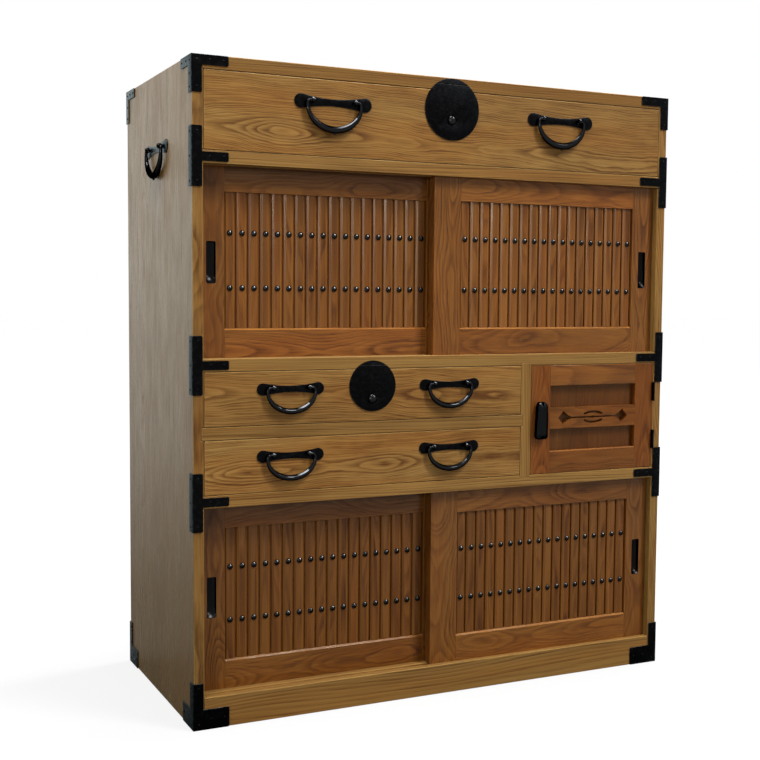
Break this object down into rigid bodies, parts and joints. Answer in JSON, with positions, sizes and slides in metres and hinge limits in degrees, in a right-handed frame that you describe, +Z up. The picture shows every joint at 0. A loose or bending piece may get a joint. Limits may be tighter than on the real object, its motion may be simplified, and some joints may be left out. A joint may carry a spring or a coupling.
{
  "type": "merchant chest",
  "caption": "Tall wooden merchant chest with drawers, slatted sliding doors, a small hinged cupboard and black iron fittings.",
  "frame": {"origin": "centre of the bounding box on the floor", "axes": "+Z up, front towards -Y, +X to the right of someone facing the front"},
  "size_m": [0.932, 0.421, 1.063],
  "materials": {
    "honey_wood": "oiled",
    "door_wood": "oiled",
    "pale_wood": "unfinished",
    "black_iron": "blackened"
  },
  "bodies": {
    "carcass": {"left_side": "honey_wood", "right_side": "honey_wood", "top_board": "honey_wood", "back_panel": "pale_wood", "upper_shelf": "honey_wood", "middle_shelf": "honey_wood", "lower_shelf": "honey_wood", "drawer_divider": "honey_wood", "partition": "honey_wood", "base": "honey_wood", "iron_top_left": "black_iron", "iron_top_right": "black_iron", "iron_upper_left": "black_iron", "iron_upper_right": "black_iron", "iron_middle_left": "black_iron", "iron_middle_right": "black_iron", "iron_lower_left": "black_iron", "iron_lower_right": "black_iron", "iron_foot_left": "black_iron", "iron_foot_right": "black_iron", "left_handle_plate": "black_iron", "right_handle_plate": "black_iron"},
    "left_handle": {"left_handle_bail": "black_iron"},
    "right_handle": {"right_handle_bail": "black_iron"},
    "top_drawer": {"top_drawer_front": "honey_wood", "top_drawer_box": "pale_wood", "top_drawer_left_plate": "black_iron", "top_drawer_right_plate": "black_iron", "top_drawer_lock": "black_iron"},
    "top_drawer_left_handle": {"top_drawer_left_bail": "black_iron"},
    "top_drawer_right_handle": {"top_drawer_right_bail": "black_iron"},
    "top_drawer_button": {"top_drawer_lock_button": "black_iron"},
    "upper_drawer": {"upper_drawer_front": "honey_wood", "upper_drawer_box": "pale_wood", "upper_drawer_left_plate": "black_iron", "upper_drawer_right_plate": "black_iron", "upper_drawer_lock": "black_iron"},
    "upper_drawer_left_handle": {"upper_drawer_left_bail": "black_iron"},
    "upper_drawer_right_handle": {"upper_drawer_right_bail": "black_iron"},
    "upper_drawer_button": {"upper_drawer_lock_button": "black_iron"},
    "lower_drawer": {"lower_drawer_front": "honey_wood", "lower_drawer_box": "pale_wood", "lower_drawer_left_plate": "black_iron", "lower_drawer_right_plate": "black_iron"},
    "lower_drawer_left_handle": {"lower_drawer_left_bail": "black_iron"},
    "lower_drawer_right_handle": {"lower_drawer_right_bail": "black_iron"},
    "upper_left_door": {"upper_left_door_frame": "door_wood", "upper_left_door_slats": "door_wood"},
    "upper_right_door": {"upper_right_door_frame": "door_wood", "upper_right_door_slats": "door_wood"},
    "lower_left_door": {"lower_left_door_frame": "door_wood", "lower_left_door_slats": "door_wood"},
    "lower_right_door": {"lower_right_door_frame": "door_wood", "lower_right_door_slats": "door_wood"},
    "small_door": {"small_door_frame": "honey_wood", "small_door_panel": "door_wood", "small_door_pull_staple": "black_iron", "small_door_hinge_upper": "black_iron", "small_door_hinge_lower": "black_iron"},
    "small_door_pull": {"small_door_pull": "black_iron"}
  },
  "joints": [
    {"name": "left_handle_swing", "type": "hinge", "parent": "carcass", "child": "left_handle", "pos_m": [-0.4612, 0.0055, 0.94], "axis": [0, 1, 0], "range_deg": [0, 95]},
    {"name": "right_handle_swing", "type": "hinge", "parent": "carcass", "child": "right_handle", "pos_m": [0.4612, 0.0055, 0.94], "axis": [0, -1, 0], "range_deg": [0, 95]},
    {"name": "top_drawer_slide", "type": "slide", "parent": "carcass", "child": "top_drawer", "axis": [0, -1, 0], "range_m": [0, 0.3]},
    {"name": "top_drawer_left_handle_swing", "type": "hinge", "parent": "top_drawer", "child": "top_drawer_left_handle", "pos_m": [-0.219, -0.2057, 1.0067], "axis": [-1, 0, 0], "range_deg": [0, 95]},
    {"name": "top_drawer_right_handle_swing", "type": "hinge", "parent": "top_drawer", "child": "top_drawer_right_handle", "pos_m": [0.219, -0.2057, 1.0067], "axis": [-1, 0, 0], "range_deg": [0, 95]},
    {"name": "top_drawer_button_press", "type": "slide", "parent": "top_drawer", "child": "top_drawer_button", "axis": [0, 1, 0], "range_m": [0, 0.003], "stiffness_N_per_m": 300},
    {"name": "upper_drawer_slide", "type": "slide", "parent": "carcass", "child": "upper_drawer", "axis": [0, -1, 0], "range_m": [0, 0.3]},
    {"name": "upper_drawer_left_handle_swing", "type": "hinge", "parent": "upper_drawer", "child": "upper_drawer_left_handle", "pos_m": [-0.29175, -0.2057, 0.54495], "axis": [-1, 0, 0], "range_deg": [0, 95]},
    {"name": "upper_drawer_right_handle_swing", "type": "hinge", "parent": "upper_drawer", "child": "upper_drawer_right_handle", "pos_m": [0.00125, -0.2057, 0.54495], "axis": [-1, 0, 0], "range_deg": [0, 95]},
    {"name": "upper_drawer_button_press", "type": "slide", "parent": "upper_drawer", "child": "upper_drawer_button", "axis": [0, 1, 0], "range_m": [0, 0.003], "stiffness_N_per_m": 300},
    {"name": "lower_drawer_slide", "type": "slide", "parent": "carcass", "child": "lower_drawer", "axis": [0, -1, 0], "range_m": [0, 0.3]},
    {"name": "lower_drawer_left_handle_swing", "type": "hinge", "parent": "lower_drawer", "child": "lower_drawer_left_handle", "pos_m": [-0.29175, -0.2057, 0.43645], "axis": [-1, 0, 0], "range_deg": [0, 95]},
    {"name": "lower_drawer_right_handle_swing", "type": "hinge", "parent": "lower_drawer", "child": "lower_drawer_right_handle", "pos_m": [0.00125, -0.2057, 0.43645], "axis": [-1, 0, 0], "range_deg": [0, 95]},
    {"name": "upper_left_door_slide", "type": "slide", "parent": "carcass", "child": "upper_left_door", "axis": [1, 0, 0], "range_m": [0, 0.411]},
    {"name": "upper_right_door_slide", "type": "slide", "parent": "carcass", "child": "upper_right_door", "axis": [1, 0, 0], "range_m": [-0.411, 0]},
    {"name": "lower_left_door_slide", "type": "slide", "parent": "carcass", "child": "lower_left_door", "axis": [1, 0, 0], "range_m": [0, 0.411]},
    {"name": "lower_right_door_slide", "type": "slide", "parent": "carcass", "child": "lower_right_door", "axis": [1, 0, 0], "range_m": [-0.411, 0]},
    {"name": "small_door_swing", "type": "hinge", "parent": "carcass", "child": "small_door", "pos_m": [0.4362, -0.203, 0.4745], "axis": [0, 0, 1], "range_deg": [0, 105]},
    {"name": "small_door_pull_swing", "type": "hinge", "parent": "small_door", "child": "small_door_pull", "pos_m": [0.1885, -0.2055, 0.503], "axis": [-1, 0, 0], "range_deg": [0, 45]}
  ]
}
